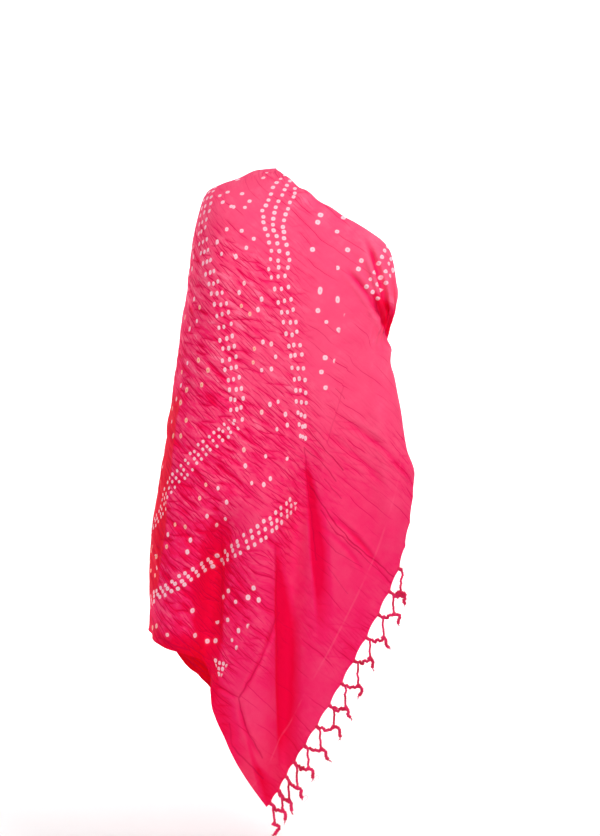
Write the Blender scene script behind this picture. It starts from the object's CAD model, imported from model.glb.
"""Looks of the dupatta stole: crinkled tie-dyed cloth and knotted cord fringes.

The cloth is one rectangle worn over the right shoulder. It is modelled as a thin
shell on the form of its solids, in four stretches that share their borders, with
creases and crinkles in the mesh. The fringes are twisted cords tied in a net.

Frame: metres, +Z up, front towards -Y. The tables measure x from the wearer's
middle line, and every piece is moved so that the origin is the shoulder point.
"""
import logging
import math
from dataclasses import dataclass, field
from enum import Enum
from typing import Callable, NamedTuple

import bpy
import numpy as np
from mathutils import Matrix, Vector


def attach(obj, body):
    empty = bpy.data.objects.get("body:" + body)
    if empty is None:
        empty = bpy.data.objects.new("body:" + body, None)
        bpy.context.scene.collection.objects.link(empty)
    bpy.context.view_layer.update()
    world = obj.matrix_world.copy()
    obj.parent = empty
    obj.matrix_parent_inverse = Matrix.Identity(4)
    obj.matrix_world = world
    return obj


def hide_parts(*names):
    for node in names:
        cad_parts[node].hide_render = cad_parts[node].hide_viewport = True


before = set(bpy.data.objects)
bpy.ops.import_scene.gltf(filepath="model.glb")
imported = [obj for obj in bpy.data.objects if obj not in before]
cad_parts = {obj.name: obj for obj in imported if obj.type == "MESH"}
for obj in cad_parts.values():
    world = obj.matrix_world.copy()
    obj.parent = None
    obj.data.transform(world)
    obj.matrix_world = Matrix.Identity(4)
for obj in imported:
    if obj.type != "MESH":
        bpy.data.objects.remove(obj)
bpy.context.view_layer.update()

LOG = logging.getLogger("stole")
ROOT_BODY = "root"
SHOULDER_POINT = np.array([-0.124, 0.0, 0.0135])
UP = np.array([0.0, 0.0, 1.0])
DOWN = -UP


class Side(Enum):
    """Front or back of the cloth; the value is the sign of y."""

    FRONT = -1
    BACK = 1


class EdgePoint(NamedTuple):
    """Point of an edge, seen from the front; at is metres across or a share."""

    at: float
    x: float
    z: float


class Size(NamedTuple):
    """A size that changes with height, or across the cloth."""

    at: float
    size: float


class Fold(NamedTuple):
    """A soft trough (depth > 0) or ridge (depth < 0), seen from the front."""

    side: Side
    x_top: float
    z_top: float
    x_bottom: float
    z_bottom: float
    bow: float
    half_width: float
    depth: float


class Crease(NamedTuple):
    """A sharp crease on one side, between two points seen from the front."""

    side: Side
    x_start: float
    z_start: float
    x_end: float
    z_end: float
    bow: float
    half_width: float
    depth: float


class Hollow(NamedTuple):
    """A hollow with a sharp edge that fades to the right, or to the left for reach < 0."""

    side: Side
    x_start: float
    z_start: float
    x_end: float
    z_end: float
    reach: float
    dye: float
    depth: float


class Stroke(NamedTuple):
    """A crisp pressed crease line, seen from the front."""

    x_start: float
    z_start: float
    x_end: float
    z_end: float
    half_width: float
    strength: float


class LineLayer(NamedTuple):
    """Fine creases, one wandering, broken line in each lane."""

    seed: float
    lanes: float        # a metre
    run: float          # how quickly a line wanders and breaks along its lane
    cut: float          # the higher, the more of a line is left out
    tilt: float
    half_width: float
    weight: float


class Blend(NamedTuple):
    """A share that goes smoothly from 0 to 1 as a measure goes from start to full."""

    measure: str
    start: float
    full: float


class SoftBox(NamedTuple):
    """A square light, in metres and watts."""

    name: str
    place: tuple
    size: float
    power: float
    lights_wall: bool = False


# ------------------------------------------------------------------ small maths
def smooth_table(keys: np.ndarray, values: np.ndarray) -> Callable:
    """Make a cubic curve through a table that never swings past its values.

    Args:
        keys: First column, rising.
        values: Second column.

    Returns:
        A function of arrays of keys.
    """
    steps = np.diff(keys)
    slopes = np.diff(values) / steps
    tangents = np.zeros_like(values)
    for k in range(1, len(values) - 1):
        before, after = slopes[k - 1], slopes[k]
        if before * after > 0:
            tangents[k] = 2 * before * after / (before + after)
    tangents[0], tangents[-1] = slopes[0], slopes[-1]

    def curve(key: np.ndarray) -> np.ndarray:
        """Value at a key."""
        key = np.clip(key, keys[0], keys[-1])
        k = np.clip(np.searchsorted(keys, key) - 1, 0, len(steps) - 1)
        t = (key - keys[k]) / steps[k]
        rise = values[k + 1] - values[k]
        start, end = tangents[k] * steps[k], tangents[k + 1] * steps[k]
        return (values[k] + t * start + t * t * (3 * rise - 2 * start - end)
                + t ** 3 * (start + end - 2 * rise))

    return curve


def edge_curve(*rows: EdgePoint) -> Callable:
    """x and z along an edge, as one function of its first column."""
    keys = np.array([row.at for row in rows])
    x_of = smooth_table(keys, np.array([row.x for row in rows]))
    z_of = smooth_table(keys, np.array([row.z for row in rows]))
    return lambda at: np.stack([x_of(at), z_of(at)], axis=-1)


def size_curve(*rows: Size) -> Callable:
    """A size as a function of the first column of its table."""
    ordered = sorted(rows)
    return smooth_table(np.array([row.at for row in ordered]),
                        np.array([row.size for row in ordered]))


def smoothstep(low: float, high: float, value: np.ndarray) -> np.ndarray:
    """0 at low, 1 at high, smooth between; low may be above high."""
    t = np.clip((value - low) / (high - low), 0.0, 1.0)
    return t * t * (3 - 2 * t)


def unit(vectors: np.ndarray) -> np.ndarray:
    """Vectors at length 1."""
    return vectors / np.maximum(np.linalg.norm(vectors, axis=-1, keepdims=True), 1e-12)


def lattice_noise(x: np.ndarray, y: np.ndarray, seed: int) -> np.ndarray:
    """Smooth random field.

    Args:
        x: First coordinate, in cells.
        y: Second coordinate, in cells.
        seed: Fixed seed of the field.

    Returns:
        Values from -1 to 1.
    """
    cells = 256
    values = np.random.default_rng(seed).uniform(-1, 1, (cells, cells))
    column, row = np.floor(x).astype(int), np.floor(y).astype(int)
    fx, fy = x - column, y - row
    fx, fy = fx ** 3 * (fx * (6 * fx - 15) + 10), fy ** 3 * (fy * (6 * fy - 15) + 10)
    low_x, high_x = column % cells, (column + 1) % cells
    low_y, high_y = row % cells, (row + 1) % cells
    bottom = values[low_x, low_y] * (1 - fx) + values[high_x, low_y] * fx
    top = values[low_x, high_y] * (1 - fx) + values[high_x, high_y] * fx
    return bottom * (1 - fy) + top * fy


# ------------------------------------------------------------------- cloth form
@dataclass
class StoleForm:
    """The hanging form of the cloth, worked out from its edges and folds."""

    width: float = 0.94
    strip: float = 0.012
    turn_power: float = 2.2
    side_radius: float = 0.05
    side_max_angle: float = math.radians(100)
    gather_pitch: float = 0.0253
    gather_depth: float = 0.0042
    gather_spread: float = 0.085
    gather_heights: tuple = (-0.345, -0.305, -0.215, -0.125)

    turning_line: Callable = field(default_factory=lambda: edge_curve(
        EdgePoint(0.000, -0.072, 0.026), EdgePoint(0.030, -0.108, 0.023),
        EdgePoint(0.060, -0.144, 0.009), EdgePoint(0.090, -0.180, -0.003),
        EdgePoint(0.120, -0.206, -0.016), EdgePoint(0.140, -0.218, -0.034),
        EdgePoint(0.165, -0.227, -0.066), EdgePoint(0.205, -0.238, -0.124),
        EdgePoint(0.270, -0.250, -0.216), EdgePoint(0.330, -0.259, -0.300),
        EdgePoint(0.430, -0.280, -0.420), EdgePoint(0.545, -0.300, -0.560),
        EdgePoint(0.620, -0.314, -0.652), EdgePoint(0.690, -0.322, -0.726),
        EdgePoint(0.830, -0.321, -0.830), EdgePoint(0.940, -0.325, -0.886)))
    ends: dict = field(default_factory=lambda: {
        Side.FRONT: edge_curve(
            EdgePoint(0.000, 0.299, -0.400), EdgePoint(0.120, 0.249, -0.497),
            EdgePoint(0.235, 0.212, -0.610), EdgePoint(0.310, 0.188, -0.690),
            EdgePoint(0.380, 0.168, -0.757), EdgePoint(0.455, 0.136, -0.830),
            EdgePoint(0.610, 0.056, -0.981), EdgePoint(0.780, -0.030, -1.128),
            EdgePoint(0.870, -0.062, -1.186), EdgePoint(0.940, -0.086, -1.220)),
        Side.BACK: edge_curve(
            EdgePoint(0.000, 0.156, -0.300), EdgePoint(0.220, 0.132, -0.520),
            EdgePoint(0.480, 0.066, -0.760), EdgePoint(0.720, -0.014, -0.990),
            EdgePoint(0.940, -0.083, -1.205))})
    upper_selvages: dict = field(default_factory=lambda: {
        Side.FRONT: edge_curve(
            EdgePoint(0.000, -0.072, 0.026), EdgePoint(0.050, -0.050, 0.003),
            EdgePoint(0.110, -0.017, -0.027), EdgePoint(0.240, 0.062, -0.081),
            EdgePoint(0.330, 0.114, -0.115), EdgePoint(0.400, 0.153, -0.150),
            EdgePoint(0.450, 0.168, -0.185), EdgePoint(0.510, 0.174, -0.225),
            EdgePoint(0.570, 0.172, -0.262), EdgePoint(0.640, 0.157, -0.306),
            EdgePoint(0.720, 0.172, -0.340), EdgePoint(0.860, 0.236, -0.372),
            EdgePoint(1.000, 0.299, -0.400)),
        Side.BACK: edge_curve(
            EdgePoint(0.000, -0.072, 0.026), EdgePoint(0.060, -0.059, 0.002),
            EdgePoint(0.160, -0.025, -0.036), EdgePoint(0.420, 0.060, -0.105),
            EdgePoint(0.640, 0.115, -0.168), EdgePoint(0.830, 0.144, -0.234),
            EdgePoint(1.000, 0.156, -0.300))})
    lower_selvages: dict = field(default_factory=lambda: {
        Side.FRONT: edge_curve(
            EdgePoint(0.000, -0.325, -0.886), EdgePoint(0.070, -0.300, -0.906),
            EdgePoint(0.210, -0.243, -0.924), EdgePoint(0.330, -0.204, -0.950),
            EdgePoint(0.520, -0.190, -1.030), EdgePoint(0.720, -0.158, -1.103),
            EdgePoint(0.860, -0.120, -1.170), EdgePoint(1.000, -0.086, -1.220)),
        Side.BACK: edge_curve(
            EdgePoint(0.000, -0.325, -0.886), EdgePoint(0.090, -0.305, -0.920),
            EdgePoint(0.250, -0.268, -0.970), EdgePoint(0.420, -0.226, -1.010),
            EdgePoint(0.700, -0.152, -1.110), EdgePoint(1.000, -0.083, -1.205))})
    depths: dict = field(default_factory=lambda: {
        Side.FRONT: size_curve(
            Size(-1.25, 0.128), Size(-0.90, 0.136), Size(-0.60, 0.134), Size(-0.40, 0.130),
            Size(-0.22, 0.136), Size(-0.12, 0.124), Size(-0.03, 0.098), Size(0.03, 0.070)),
        Side.BACK: size_curve(
            Size(-1.25, 0.120), Size(-0.90, 0.124), Size(-0.55, 0.116), Size(-0.30, 0.112),
            Size(-0.15, 0.110), Size(-0.03, 0.088), Size(0.03, 0.066))})
    side_line: Callable = field(default_factory=lambda: size_curve(
        Size(-1.25, 0.199), Size(-0.62, 0.198), Size(-0.58, 0.199), Size(-0.53, 0.185),
        Size(-0.46, 0.174), Size(-0.40, 0.162), Size(-0.36, 0.154), Size(-0.31, 0.152),
        Size(-0.25, 0.168), Size(-0.18, 0.162), Size(-0.10, 0.152), Size(0.05, 0.150)))
    turn_reach: Callable = field(default_factory=lambda: size_curve(
        Size(0.00, 0.095), Size(0.10, 0.100), Size(0.20, 0.110), Size(0.45, 0.120),
        Size(0.75, 0.105), Size(0.94, 0.085)))
    folds: tuple = (
        Fold(Side.FRONT, -0.012, -0.530, -0.054, -1.160, -0.010, 0.025, 0.024),
        Fold(Side.FRONT, -0.172, -0.640, -0.208, -0.960, -0.004, 0.030, 0.034),
        Fold(Side.FRONT, 0.052, -0.600, 0.010, -1.060, 0.006, 0.034, -0.010),
        Fold(Side.FRONT, -0.090, -0.560, -0.120, -1.140, 0.000, 0.036, -0.012),
        Fold(Side.FRONT, -0.252, -0.380, -0.285, -0.820, -0.004, 0.022, -0.007),
        Fold(Side.FRONT, 0.120, -0.420, 0.150, -0.700, 0.008, 0.024, -0.008),
        Fold(Side.BACK, -0.215, -0.400, -0.235, -0.960, -0.004, 0.026, 0.020),
        Fold(Side.BACK, -0.130, -0.300, -0.150, -1.080, 0.010, 0.030, -0.014),
        Fold(Side.BACK, -0.050, -0.420, -0.075, -1.160, -0.008, 0.026, 0.022),
        Fold(Side.BACK, 0.040, -0.250, 0.015, -0.980, 0.006, 0.028, -0.012),
        Fold(Side.BACK, 0.100, -0.340, 0.070, -0.840, -0.006, 0.024, 0.016),
    )

    def outline_point(self, side: Side, across: np.ndarray, share: np.ndarray) -> np.ndarray:
        """Point of a side seen from the front, between its four edges."""
        part, along = (across / self.width)[..., None], share[..., None]
        upper, lower = self.upper_selvages[side], self.lower_selvages[side]
        end = self.ends[side]
        between_selvages = (1 - part) * upper(share) + part * lower(share)
        turn_to_end = (1 - along) * self.turning_line(across) + along * end(across)
        top = (1 - part) * self.turning_line(0.0) + part * self.turning_line(self.width)
        bottom = (1 - part) * end(0.0) + part * end(self.width)
        return between_selvages + turn_to_end - (1 - along) * top - along * bottom

    def fold_depth(self, side: Side, x: np.ndarray, z: np.ndarray) -> np.ndarray:
        """Total of the large troughs and ridges at a point, inward positive."""
        total = np.zeros_like(x)
        for fold in self.folds:
            if fold.side != side:
                continue
            down = (fold.z_top - z) / (fold.z_top - fold.z_bottom)
            middle = (fold.x_top + (fold.x_bottom - fold.x_top) * down
                      + 4 * fold.bow * down * (1 - down))
            fade = smoothstep(-0.05, 0.22, down) * smoothstep(1.45, 0.95, down)
            total += fold.depth * fade * np.exp(-((x - middle) / fold.half_width) ** 2)
        return total

    def gather_wave(self, across: np.ndarray, z: np.ndarray) -> np.ndarray:
        """Gathers by the upper front selvage, under the left arm."""
        begins, full, still_full, ends_at = self.gather_heights
        height = smoothstep(begins, full, z) * smoothstep(ends_at, still_full, z)
        spread = smoothstep(self.gather_spread, self.gather_spread * 0.45, across)
        wave = np.cos(2 * math.pi * across / self.gather_pitch)
        return self.gather_depth * height * spread * wave

    def side_point(self, side: Side, across: np.ndarray, along: np.ndarray) -> np.ndarray:
        """Middle of the cloth on one side.

        Args:
            side: Front or back.
            across: Metres from the upper selvage.
            along: 0 at the turning line, 1 at full depth, 2 at the end strip, 3 at its edge.

        Returns:
            Points as x, y, z in the last axis.
        """
        length = np.linalg.norm(self.ends[side](across) - self.turning_line(across), axis=-1)
        turn_share = self.turn_reach(across) / length
        panel_share = 1 - self.strip / length
        turn_angle = np.clip(along, 0, 1) * math.pi / 2
        share = (turn_share * (1 - np.cos(turn_angle))
                 + (panel_share - turn_share) * np.clip(along - 1, 0, 1)
                 + (1 - panel_share) * np.clip(along - 2, 0, 1))
        flat = self.outline_point(side, across, share)
        x, z = flat[..., 0], flat[..., 1]
        roundness = (1 - np.cos(turn_angle) ** self.turn_power) ** (1 / self.turn_power)
        depth = (self.depths[side](z) - self.fold_depth(side, x, z)) * roundness
        if side is Side.FRONT:
            depth += self.gather_wave(across, z)
            bend_start = self.side_line(z) - self.side_radius
            past = np.maximum(x - bend_start, 0.0)
            angle = np.minimum(past / self.side_radius, self.side_max_angle)
            straight = past - angle * self.side_radius
            x = (np.minimum(x, bend_start) + self.side_radius * np.sin(angle)
                 + straight * np.cos(angle))
            depth = depth - self.side_radius * (1 - np.cos(angle)) - straight * np.sin(angle)
        return np.stack([x, side.value * depth, z], axis=-1)

    def point(self, across: np.ndarray, along: np.ndarray) -> np.ndarray:
        """Middle of the cloth; along is negative in front and positive behind."""
        across, along = np.broadcast_arrays(np.asarray(across, float), np.asarray(along, float))
        front = self.side_point(Side.FRONT, across, np.maximum(-along, 0))
        back = self.side_point(Side.BACK, across, np.maximum(along, 0))
        return np.where((along < 0)[..., None], front, back)


# ------------------------------------------------------------ creases, crinkles
@dataclass
class CrushedSurface:
    """Relief of crushed cotton, as heights above the form."""

    lean: float = math.radians(36)  # how steeply the crinkles run down from the arm
    fine_spacing: float = 0.0105
    fine_length: float = 0.085
    fine_height: float = 0.0011
    broad_spacing: float = 0.026
    broad_length: float = 0.17
    broad_height: float = 0.0022
    drape_spacing: float = 0.075
    drape_length: float = 0.34
    drape_height: float = 0.0040
    finer_spacing: float = 0.62     # a second fine layer, as shares of the first
    finer_length: float = 0.60
    finer_height: float = 0.45
    fine_power: float = 0.8         # below 1, the fine crinkles are fuller
    wander: float = 0.0030          # how far a crinkle strays from its lane
    wander_run: float = 0.070
    wander_lanes: float = 0.05
    patch_width: float = 0.09       # stretches that are crushed more or less
    patch_length: float = 0.13
    patch_middle: float = 0.72
    patch_change: float = 0.42
    edge_ripple: float = 0.0052
    edge_reach: float = 0.030
    edge_wave: float = 0.028
    lip_height: float = 0.45        # of a crease's depth, on each side of its trough
    lip_place: float = 2.0          # in half widths of the crease
    lip_spread: float = 0.9
    seed: int = 17
    creases: tuple = (
        Crease(Side.FRONT, 0.014, -0.650, 0.118, -0.745, 0.010, 0.0045, 0.0022),
        Crease(Side.FRONT, 0.030, -0.648, 0.132, -0.762, 0.008, 0.0045, 0.0018),
        Crease(Side.FRONT, 0.006, -0.672, 0.100, -0.770, 0.010, 0.0045, 0.0018),
        Crease(Side.FRONT, 0.040, -0.470, 0.185, -0.590, 0.016, 0.0075, 0.0026),
        Crease(Side.FRONT, 0.020, -0.500, 0.150, -0.620, 0.012, 0.0065, 0.0016),
        Crease(Side.FRONT, -0.066, -0.850, -0.141, -1.006, 0.004, 0.0045, 0.0024),
        Crease(Side.FRONT, -0.141, -1.006, -0.097, -1.122, -0.008, 0.0045, 0.0024),
        Crease(Side.FRONT, -0.186, -0.982, -0.141, -1.006, 0.000, 0.0045, 0.0022),
        Crease(Side.FRONT, 0.100, -0.120, 0.150, -0.300, 0.006, 0.0050, 0.0070),
        Crease(Side.FRONT, 0.060, -0.180, 0.146, -0.310, 0.008, 0.0055, 0.0055),
        Crease(Side.BACK, -0.180, -0.180, 0.060, -0.420, 0.020, 0.0070, 0.0060),
        Crease(Side.BACK, -0.150, -0.300, 0.090, -0.520, 0.018, 0.0060, 0.0055),
        Crease(Side.BACK, -0.200, -0.520, 0.020, -0.760, 0.014, 0.0060, 0.0050),
        Crease(Side.BACK, -0.120, -0.820, 0.000, -0.960, 0.008, 0.0050, 0.0045),
    )
    hollows: tuple = (
        Hollow(Side.FRONT, -0.016, -0.535, 0.011, -0.896, 0.040, 0.85, 0.0035),
        Hollow(Side.FRONT, -0.070, -0.706, -0.066, -1.155, 0.048, 0.95, 0.0045),
        Hollow(Side.FRONT, -0.108, -1.130, -0.085, -1.226, 0.030, 0.60, 0.0020),
        Hollow(Side.FRONT, -0.126, -1.078, -0.097, -1.203, 0.012, 0.35, 0.0015),
        Hollow(Side.FRONT, -0.174, -0.690, -0.176, -0.925, -0.062, 0.80, 0.0040),
        Hollow(Side.FRONT, 0.112, -0.222, 0.156, -0.340, 0.050, 1.00, 0.0),
        Hollow(Side.BACK, -0.075, -0.480, -0.120, -0.980, 0.050, 0.55, 0.0040),
        Hollow(Side.BACK, 0.020, -0.420, -0.020, -0.860, 0.045, 0.45, 0.0035),
    )

    def lanes(self, points: np.ndarray, turn_row: int) -> tuple:
        """Metric coordinates across and along the crinkles.

        They run down and away from the turning line, in front and behind.

        Args:
            points: Grid of points, with rows along the cloth in the second axis.
            turn_row: Index of the turning line in that axis.

        Returns:
            Metres across the crinkles and metres along them.
        """
        steps = np.linalg.norm(np.diff(points[..., :2], axis=1), axis=-1)
        walked = np.concatenate([np.zeros((len(points), 1)), np.cumsum(steps, 1)], 1)
        reach = np.abs(walked - walked[:, turn_row:turn_row + 1]) + points[:, turn_row, :1]
        z = points[..., 2]
        return (reach * math.sin(self.lean) + z * math.cos(self.lean),
                reach * math.cos(self.lean) - z * math.sin(self.lean))

    def crinkle(self, lane: np.ndarray, length: np.ndarray, strength: np.ndarray) -> np.ndarray:
        """Fine and broad crinkles.

        Args:
            lane: Metres across the crinkles.
            length: Metres along them.
            strength: Share of the full relief at each point.

        Returns:
            Heights in metres.
        """
        lane = lane + self.wander * lattice_noise(
            length / self.wander_run, lane / self.wander_lanes, self.seed)

        def waves(number: int, spacing: float, run: float) -> np.ndarray:
            """One layer of noise, drawn out along the crinkles."""
            return lattice_noise(lane / spacing, length / run, self.seed + number)

        fine = waves(1, self.fine_spacing, self.fine_length)
        finer = waves(2, self.finer_spacing * self.fine_spacing,
                      self.finer_length * self.fine_length)
        broad = waves(3, self.broad_spacing, self.broad_length)
        drape = waves(4, self.drape_spacing, self.drape_length)
        patches = self.patch_middle + self.patch_change * waves(
            5, self.patch_width, self.patch_length)
        ridged = np.sign(fine) * np.abs(fine) ** self.fine_power + self.finer_height * finer
        return (strength * patches * (self.fine_height * ridged + self.broad_height * broad)
                + self.drape_height * drape * (0.35 + 0.65 * strength))

    def crease_height(self, side: Side, x: np.ndarray, z: np.ndarray) -> np.ndarray:
        """Placed creases: a sharp trough with a low lip on each side."""
        total = np.zeros_like(x)
        for crease in self.creases:
            if crease.side != side:
                continue
            start = np.array([crease.x_start, crease.z_start])
            way = np.array([crease.x_end, crease.z_end]) - start
            length = float(np.hypot(*way))
            way /= length
            along = ((x - start[0]) * way[0] + (z - start[1]) * way[1]) / length
            off = (x - start[0]) * way[1] - (z - start[1]) * way[0]
            off = off + 4 * crease.bow * along * (1 - along)
            ratio = np.abs(off) / crease.half_width
            trough = np.exp(-ratio ** 1.5)
            lip = self.lip_height * np.exp(-((ratio - self.lip_place) / self.lip_spread) ** 2)
            fade = smoothstep(-0.02, 0.25, along) * smoothstep(1.04, 0.72, along)
            total += crease.depth * fade * (lip - trough)
        return total

    def hollow_shares(self, side: Side, x: np.ndarray, z: np.ndarray) -> tuple:
        """Extra dye and extra depth in the sharp-edged hollows of one side."""
        dye, depth = np.zeros_like(x), np.zeros_like(x)
        for hollow in self.hollows:
            if hollow.side != side:
                continue
            down = (hollow.z_start - z) / (hollow.z_start - hollow.z_end)
            off = x - hollow.x_start - (hollow.x_end - hollow.x_start) * down
            off = off * math.copysign(1.0, hollow.reach)
            reach = abs(hollow.reach) * (0.25 + 0.75 * smoothstep(0.0, 0.45, down))
            share = smoothstep(-0.005, 0.004, off) * smoothstep(1.0, 0.0, off / reach) ** 0.8
            share *= 1 + 0.25 * lattice_noise(x / 0.03, z / 0.05, self.seed + 8)
            share *= smoothstep(-0.02, 0.16, down) * smoothstep(1.05, 0.62, down)
            dye += hollow.dye * share
            depth += hollow.depth * share
        return dye, depth

    def ripple(self, across: np.ndarray, length: np.ndarray, width: float) -> np.ndarray:
        """Small waves along both selvages."""
        near = np.exp(-across / self.edge_reach) + np.exp(-(width - across) / self.edge_reach)
        wave = lattice_noise(length / self.edge_wave, across * 4, self.seed + 6)
        return self.edge_ripple * near * wave


@dataclass
class ClothGrid:
    """Fine grid over the whole cloth, with relief, normals and charts."""

    form: StoleForm
    relief: CrushedSurface
    across_step: float = 0.0031
    front_rows: int = 190
    turn_rows: int = 56
    back_rows: int = 158
    strip_rows: int = 5
    band_width: float = 0.24
    thickness: float = 0.0013
    root_pitch: float = 0.045       # the fringe roots pull the edge to points
    scallop: float = 0.36           # share of the end strip that the edge draws back
    scallop_power: float = 2.2
    crush_of: dict = field(default_factory=lambda: {    # share of the full relief
        "ground": 0.16, "worked": 0.36, "arm": 0.42, "patches": 0.16})
    top_crush: float = 0.25         # of the worked relief, on top in front
    least_crush: float = 0.06
    end_relief: float = 0.25        # the relief fades to this share at the ends
    edge_at: tuple = (-0.258, -0.451)   # x and z on the pressed edge of the arm side
    edge_lean: float = 0.117
    edge_waver: float = 0.0015
    pressed_height: float = 0.0020
    pressed_reach: float = 0.0035
    zones: dict = field(default_factory=lambda: {       # each the product of its blends
        "worked": (Blend("from_end", 0.15, 0.34), Blend("x", 0.03, -0.05)),
        "below_top": (Blend("z", -0.05, -0.30),),
        "arm_crush": (Blend("x", -0.10, -0.24),),
        "off_turn": (Blend("from_turn", 0.2, 0.9),),
        "off_end": (Blend("from_end", 0.0, 0.02),),
        "pressed": (Blend("z", -0.39, -0.46), Blend("z", -0.86, -0.78)),
        "past_edge": (Blend("past_edge", -0.002, 0.003), Blend("along", 0.42, 0.08)),
        "low": (Blend("z", -0.38, -0.74),),
        "tip": (Blend("z", -1.02, -1.18),),
        "arm": (Blend("x", -0.12, -0.26), Blend("z", -0.16, -0.34)),
        "hem": (Blend("across", 0.80, 0.93), Blend("z", -0.78, -0.90),
                Blend("along", 1.90, 1.40), Blend("along", -1.90, -1.50)),
        "inner_hem": (Blend("across", 0.80, 0.90), Blend("along", 0.2, 0.7),
                      Blend("along", 2.0, 1.5)),
        "notch": (Blend("x", -0.19, -0.22), Blend("z", -0.88, -0.93)),
        "side_fold": (Blend("x", -0.135, -0.155),),
        "trough": (Blend("fold", 0.0084, 0.0204),),
        "ridge": (Blend("fold", 0.0, -0.014),),
        "side_scarlet": (Blend("x", -0.16, -0.18), Blend("z", -0.66, -0.76)),
        "chest_scarlet": (Blend("x", 0.09, 0.11), Blend("z", -0.36, -0.32))})
    ground_dye: float = 0.03
    crease_dye: float = 60.0        # a metre of crease depth
    height_dye: float = 0.030       # rise that would take the whole dye off, if not limited
    height_dye_limits: tuple = (-0.14, 0.10)
    dye_of: dict = field(default_factory=lambda: {      # share of the deep colour
        "low": 0.40, "hem": 0.45, "turned": 0.60, "arm": 0.30, "low_arm": -0.26,
        "inner_hem": 0.55, "hollow": 1.0, "fold": 0.46, "ridge": -0.10, "notch": 0.45})
    shade_of: dict = field(default_factory=lambda: {    # share of the scarlet
        "turned": 0.62, "hem": 0.12, "inner_hem": 0.45, "notch": 0.62, "scarlet": 0.55,
        "tip": 0.30})

    def __post_init__(self) -> None:
        """Work out every row and column once."""
        coarse = 1
        band = round(self.band_width / self.across_step / coarse)
        rest = round((self.form.width - self.band_width) / self.across_step / coarse)
        self.band_columns = band
        self.across = np.concatenate([
            np.linspace(0, self.band_width, band + 1),
            np.linspace(self.band_width, self.form.width, rest + 1)[1:]])
        front, turn, back = (n // coarse for n in (self.front_rows, self.turn_rows, self.back_rows))
        strip = self.strip_rows
        front_part = np.concatenate([np.linspace(3, 2, strip)[:-1],
                                     np.linspace(2, 1, front - strip + 1)])
        back_part = np.concatenate([np.linspace(1, 2, back - strip + 1),
                                    np.linspace(2, 3, strip)[1:]])
        turning = np.linspace(-1, 1, 2 * turn + 1)
        self.along = np.concatenate([-front_part[:-1], turning, back_part[1:]])
        self.front_end, self.turn_end = len(front_part) - 1, len(front_part) + 2 * turn - 1
        self._lay_out()
        self._raise_relief()
        self._shade()

    def _lay_out(self) -> None:
        """Place the middle of the cloth and measure along it."""
        across, along = np.meshgrid(self.across, self.along, indexing="ij")
        at_roots = np.mod((across - self.root_pitch / 2) / self.root_pitch, 1.0)
        drawn_back = self.scallop * (1 - np.abs(2 * at_roots - 1) ** self.scallop_power)
        past_strip = np.maximum(np.abs(along) - 2, 0)
        whole = self.form.point(across, along)
        self.base = self.form.point(across, along - np.sign(along) * past_strip * drawn_back)
        steps = np.linalg.norm(np.diff(whole, axis=1), axis=-1)
        self.length = np.concatenate([np.zeros((len(self.across), 1)), np.cumsum(steps, 1)], 1)
        self.from_end = np.minimum(self.length, self.length[:, -1:] - self.length)
        self.across_grid, self.along_grid, self.front = across, along, along < 0
        self.measures = {
            "x": self.base[..., 0], "z": self.base[..., 2], "across": across, "along": along,
            "from_turn": np.abs(along), "from_end": self.from_end,
            "fold": self._by_side(self.form.fold_depth)}

    def _zone(self, name: str) -> np.ndarray:
        """Share of a named zone at every point."""
        return np.prod([smoothstep(blend.start, blend.full, self.measures[blend.measure])
                        for blend in self.zones[name]], axis=0)

    def _by_side(self, measure: Callable) -> np.ndarray:
        """A measure of side, x and z, taken from each point's own side."""
        x, z = self.base[..., 0], self.base[..., 2]
        return np.where(self.front, measure(Side.FRONT, x, z), measure(Side.BACK, x, z))

    def _raise_relief(self) -> None:
        """Raise crinkles, creases and the pressed edge, sink the hollows, take normals."""
        seed, share = self.relief.seed, self.crush_of
        below_top = np.where(self.front, self._zone("below_top"), 1.0)
        worked = self._zone("worked") * (self.top_crush + (1 - self.top_crush) * below_top)
        patches = lattice_noise(self.across_grid / 0.11, self.from_end / 0.09, seed + 7)
        strength = (share["ground"] + share["patches"] * patches
                    + worked * (share["worked"] + share["arm"] * self._zone("arm_crush")))
        self.crushed = np.maximum(strength, self.least_crush)
        self.lane, self.run = self.relief.lanes(self.base, int(np.argmin(np.abs(self.along))))
        self.creased = self._by_side(self.relief.crease_height) * self._zone("off_turn")
        self.hollow_dye, hollow_depth = self._by_side(self.relief.hollow_shares)
        height = (self.relief.crinkle(self.lane, self.run, self.crushed) + self.creased
                  + self.relief.ripple(self.across_grid, self.length, self.form.width)
                  + self._pressed_edge() - hollow_depth)
        self.height = height * (self.end_relief + (1 - self.end_relief) * self._zone("off_end"))
        self.middle = self.base + self._normals(self.base) * self.height[..., None]
        self.normals = self._normals(self.middle)

    def _pressed_edge(self) -> np.ndarray:
        """Height of the edge over which the arm side turns; marks what is past it."""
        x, z = self.measures["x"], self.measures["z"]
        edge_x, edge_z = self.edge_at
        waver = lattice_noise(z / 0.03, self.across_grid * 3, self.relief.seed + 9)
        past_edge = edge_x + self.edge_lean * (z - edge_z) - x + self.edge_waver * waver
        self.measures["past_edge"] = past_edge
        pressed = self._zone("pressed")
        self.turned = pressed * self._zone("past_edge")
        return self.pressed_height * pressed * np.exp(-(past_edge / self.pressed_reach) ** 2)

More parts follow.
